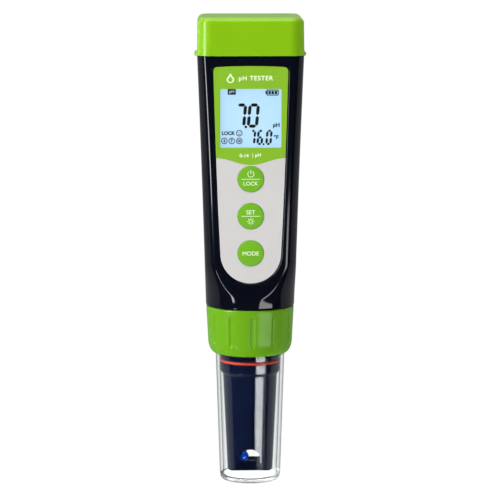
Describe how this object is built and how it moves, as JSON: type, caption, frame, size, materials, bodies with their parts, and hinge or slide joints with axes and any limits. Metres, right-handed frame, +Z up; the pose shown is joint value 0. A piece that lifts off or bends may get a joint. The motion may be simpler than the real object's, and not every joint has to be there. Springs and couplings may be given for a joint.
{
  "type": "water quality probe",
  "caption": "Hand-held pH tester: tapered square housing with display and keys on a flat face, pull-off top cap, threaded locking ring, plug-in electrode and clear storage cap.",
  "frame": {"origin": "centre of the storage cap's flat underside, with the probe standing upright on it", "axes": "+Z up along the probe towards the pull-off cap, the display and keys facing -Y, +X to the viewer's right"},
  "size_m": [0.0422, 0.04, 0.178],
  "materials": {
    "black_abs": "glossy",
    "overlay_film": "satin",
    "clear_window": "polished",
    "lcd_glass": "polished",
    "diffuser_plastic": "matte",
    "elastomer_strip": "matte",
    "switch_steel": "satin",
    "circuit_board": "satin",
    "black_moulding": "matte",
    "holder_plastic": "matte",
    "battery_jacket": "satin",
    "nickel_plate": "satin",
    "black_rubber": "matte",
    "silver_sticker": "matte",
    "gold_plate": "polished",
    "green_key_film": "satin",
    "green_abs": "glossy",
    "navy_abs": "glossy",
    "white_nylon": "satin",
    "red_silicone": "satin",
    "electrode_glass": "polished",
    "blue_electrolyte": "glossy",
    "silver_wire": "satin",
    "porous_ceramic": "matte",
    "sensor_steel": "satin",
    "epoxy": "satin",
    "clear_plastic": "polished"
  },
  "bodies": {
    "handle": {"housing": "black_abs", "face_overlay": "overlay_film", "display_window": "clear_window", "lcd_panel": "lcd_glass", "backlight": "diffuser_plastic", "zebra_strip": "elastomer_strip", "lcd_frame": "diffuser_plastic", "power_switch": "switch_steel", "calibrate_switch": "switch_steel", "unit_switch": "switch_steel", "main_board": "circuit_board", "board_screw_1": "switch_steel", "board_screw_2": "switch_steel", "board_screw_3": "switch_steel", "board_screw_4": "switch_steel", "microcontroller": "black_moulding", "battery_holder": "holder_plastic", "battery_cell_1": "battery_jacket", "battery_cell_2": "battery_jacket", "battery_cell_3": "battery_jacket", "battery_cell_4": "battery_jacket", "contact_spring_1": "nickel_plate", "contact_spring_2": "nickel_plate", "contact_spring_3": "nickel_plate", "contact_spring_4": "nickel_plate", "cap_gasket": "black_rubber", "neck_seal": "black_rubber", "rating_label": "silver_sticker", "probe_socket": "black_moulding", "socket_pin_1": "gold_plate", "socket_pin_2": "gold_plate", "socket_pin_3": "gold_plate", "socket_pin_4": "gold_plate"},
    "power_button": {"power_key": "green_key_film", "power_plunger": "black_rubber"},
    "calibrate_button": {"calibrate_key": "green_key_film", "calibrate_plunger": "black_rubber"},
    "unit_button": {"unit_key": "green_key_film", "unit_plunger": "black_rubber"},
    "cap": {"top_cap": "green_abs"},
    "lid": {"battery_lid": "holder_plastic", "lid_contact_left": "nickel_plate", "lid_contact_right": "nickel_plate"},
    "electrode": {"probe_body": "navy_abs", "slip_washer": "white_nylon", "cap_seal": "red_silicone", "sensing_glass": "electrode_glass", "bulb_electrolyte": "blue_electrolyte", "measuring_wire": "silver_wire", "reference_wire": "silver_wire", "reference_junction": "porous_ceramic", "temperature_sensor": "sensor_steel", "potting_plug": "epoxy", "probe_plug": "black_moulding"},
    "ring": {"locking_ring": "green_abs"},
    "soaker": {"storage_cap": "clear_plastic"}
  },
  "joints": [
    {"name": "power_press", "type": "slide", "parent": "handle", "child": "power_button", "axis": [0, 0.9993, 0.0385], "range_m": [0, 0.0004], "stiffness_N_per_m": 800, "springref_m": -0.0005},
    {"name": "calibrate_press", "type": "slide", "parent": "handle", "child": "calibrate_button", "axis": [0, 0.9993, 0.0385], "range_m": [0, 0.0004], "stiffness_N_per_m": 800, "springref_m": -0.0005},
    {"name": "unit_press", "type": "slide", "parent": "handle", "child": "unit_button", "axis": [0, 0.9993, 0.0385], "range_m": [0, 0.0004], "stiffness_N_per_m": 800, "springref_m": -0.0005},
    {"name": "top_cap_pull", "type": "slide", "parent": "handle", "child": "cap", "axis": [0, 0, 1], "range_m": [0, 0.03]},
    {"name": "battery_lid_slide", "type": "slide", "parent": "handle", "child": "lid", "axis": [0, -1, 0], "range_m": [0, 0.0036]},
    {"name": "electrode_travel", "type": "slide", "parent": "handle", "child": "electrode", "axis": [0, 0, -1], "range_m": [0, 0.0075]},
    {"name": "ring_turn", "type": "hinge", "parent": "electrode", "child": "ring", "pos_m": [0, 0, 0.06], "axis": [0, 0, -1], "range_deg": [0, 1080]},
    {"name": "storage_cap_pull", "type": "slide", "parent": "electrode", "child": "soaker", "axis": [0, 0, -1], "range_m": [0, 0.06]}
  ],
  "couplings": [
    {"joint": "electrode_travel", "follows": "ring_turn", "m_per_rad": 0.00039789}
  ]
}
